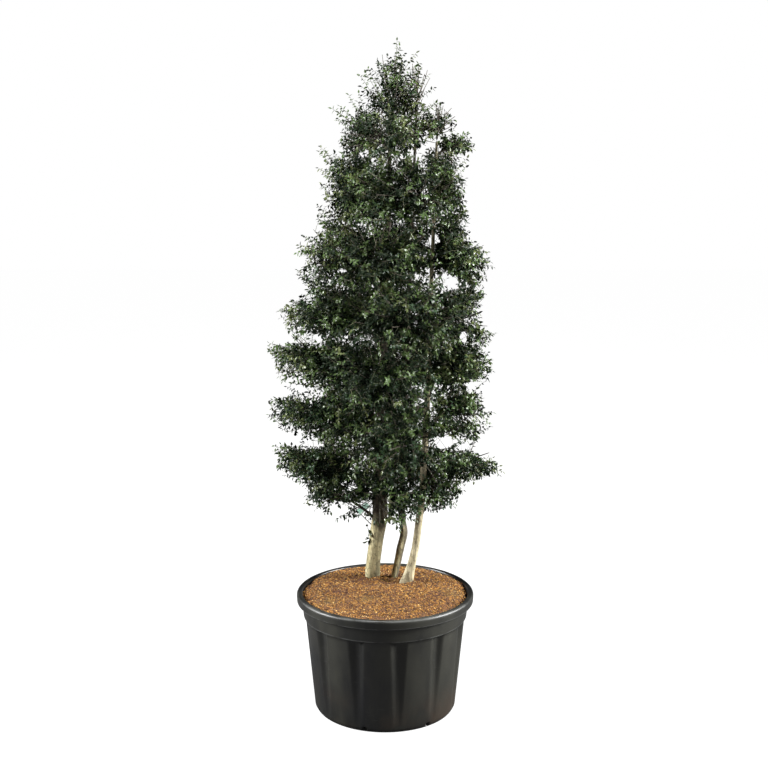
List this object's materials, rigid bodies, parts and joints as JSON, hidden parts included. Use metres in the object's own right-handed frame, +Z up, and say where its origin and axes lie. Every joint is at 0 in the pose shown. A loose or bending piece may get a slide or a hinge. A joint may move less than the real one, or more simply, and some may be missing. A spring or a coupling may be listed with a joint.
{
  "type": "potted aquipernyi holly tree",
  "caption": "Multi-stemmed aquipernyi holly with a tall, dense cone of small glossy evergreen leaves, standing in soil in a round black nursery pot.",
  "frame": {"origin": "centre of the flat underside of the pot", "axes": "+Z up along the plant; the front of the plant, as pictured, faces -Y, with +X to its right"},
  "size_m": [1.0918, 1.0444, 2.9566],
  "materials": {
    "pot": "moulded black nursery plastic, satin, slightly dusty",
    "soil": "loose reddish-brown bark and coir mulch",
    "bark": "smooth greenish-tan bark with fine lengthwise streaks and pale blotches",
    "tag": "thin pale green nursery label, blank",
    "foliage": "small glossy dark green leaves on thin brown twigs"
  },
  "bodies": {
    "root": {"pot": "pot", "soil": "soil", "stem_thick": "bark", "stem_middle": "bark", "stem_right": "bark", "bough_back_1": "bark", "bough_back_2": "bark", "bough_back_3": "bark", "bough_back_4": "bark", "bough_front_1": "bark", "bough_front_2": "bark", "bough_front_3": "bark", "bough_front_4": "bark", "bough_left_1": "bark", "bough_left_2": "bark", "bough_left_3": "bark", "bough_left_4": "bark", "bough_left_5": "bark", "bough_left_6": "bark", "bough_right_1": "bark", "bough_right_2": "bark", "bough_right_3": "bark", "bough_right_4": "bark", "bough_right_5": "bark", "tag": "tag", "foliage_apex": "foliage", "foliage_back_1": "foliage", "foliage_back_2": "foliage", "foliage_back_3": "foliage", "foliage_back_4": "foliage", "foliage_back_5": "foliage", "foliage_back_6": "foliage", "foliage_back_7": "foliage", "foliage_front_1": "foliage", "foliage_front_2": "foliage", "foliage_front_3": "foliage", "foliage_front_4": "foliage", "foliage_front_5": "foliage", "foliage_front_6": "foliage", "foliage_front_7": "foliage", "foliage_left_1": "foliage", "foliage_left_2": "foliage", "foliage_left_3": "foliage", "foliage_left_4": "foliage", "foliage_left_5": "foliage", "foliage_left_6": "foliage", "foliage_left_7": "foliage", "foliage_left_8": "foliage", "foliage_right_1": "foliage", "foliage_right_2": "foliage", "foliage_right_3": "foliage", "foliage_right_4": "foliage", "foliage_right_5": "foliage", "foliage_right_6": "foliage", "foliage_right_7": "foliage", "foliage_right_8": "foliage", "foliage_second": "foliage", "foliage_side": "foliage"}
  },
  "joints": []
}
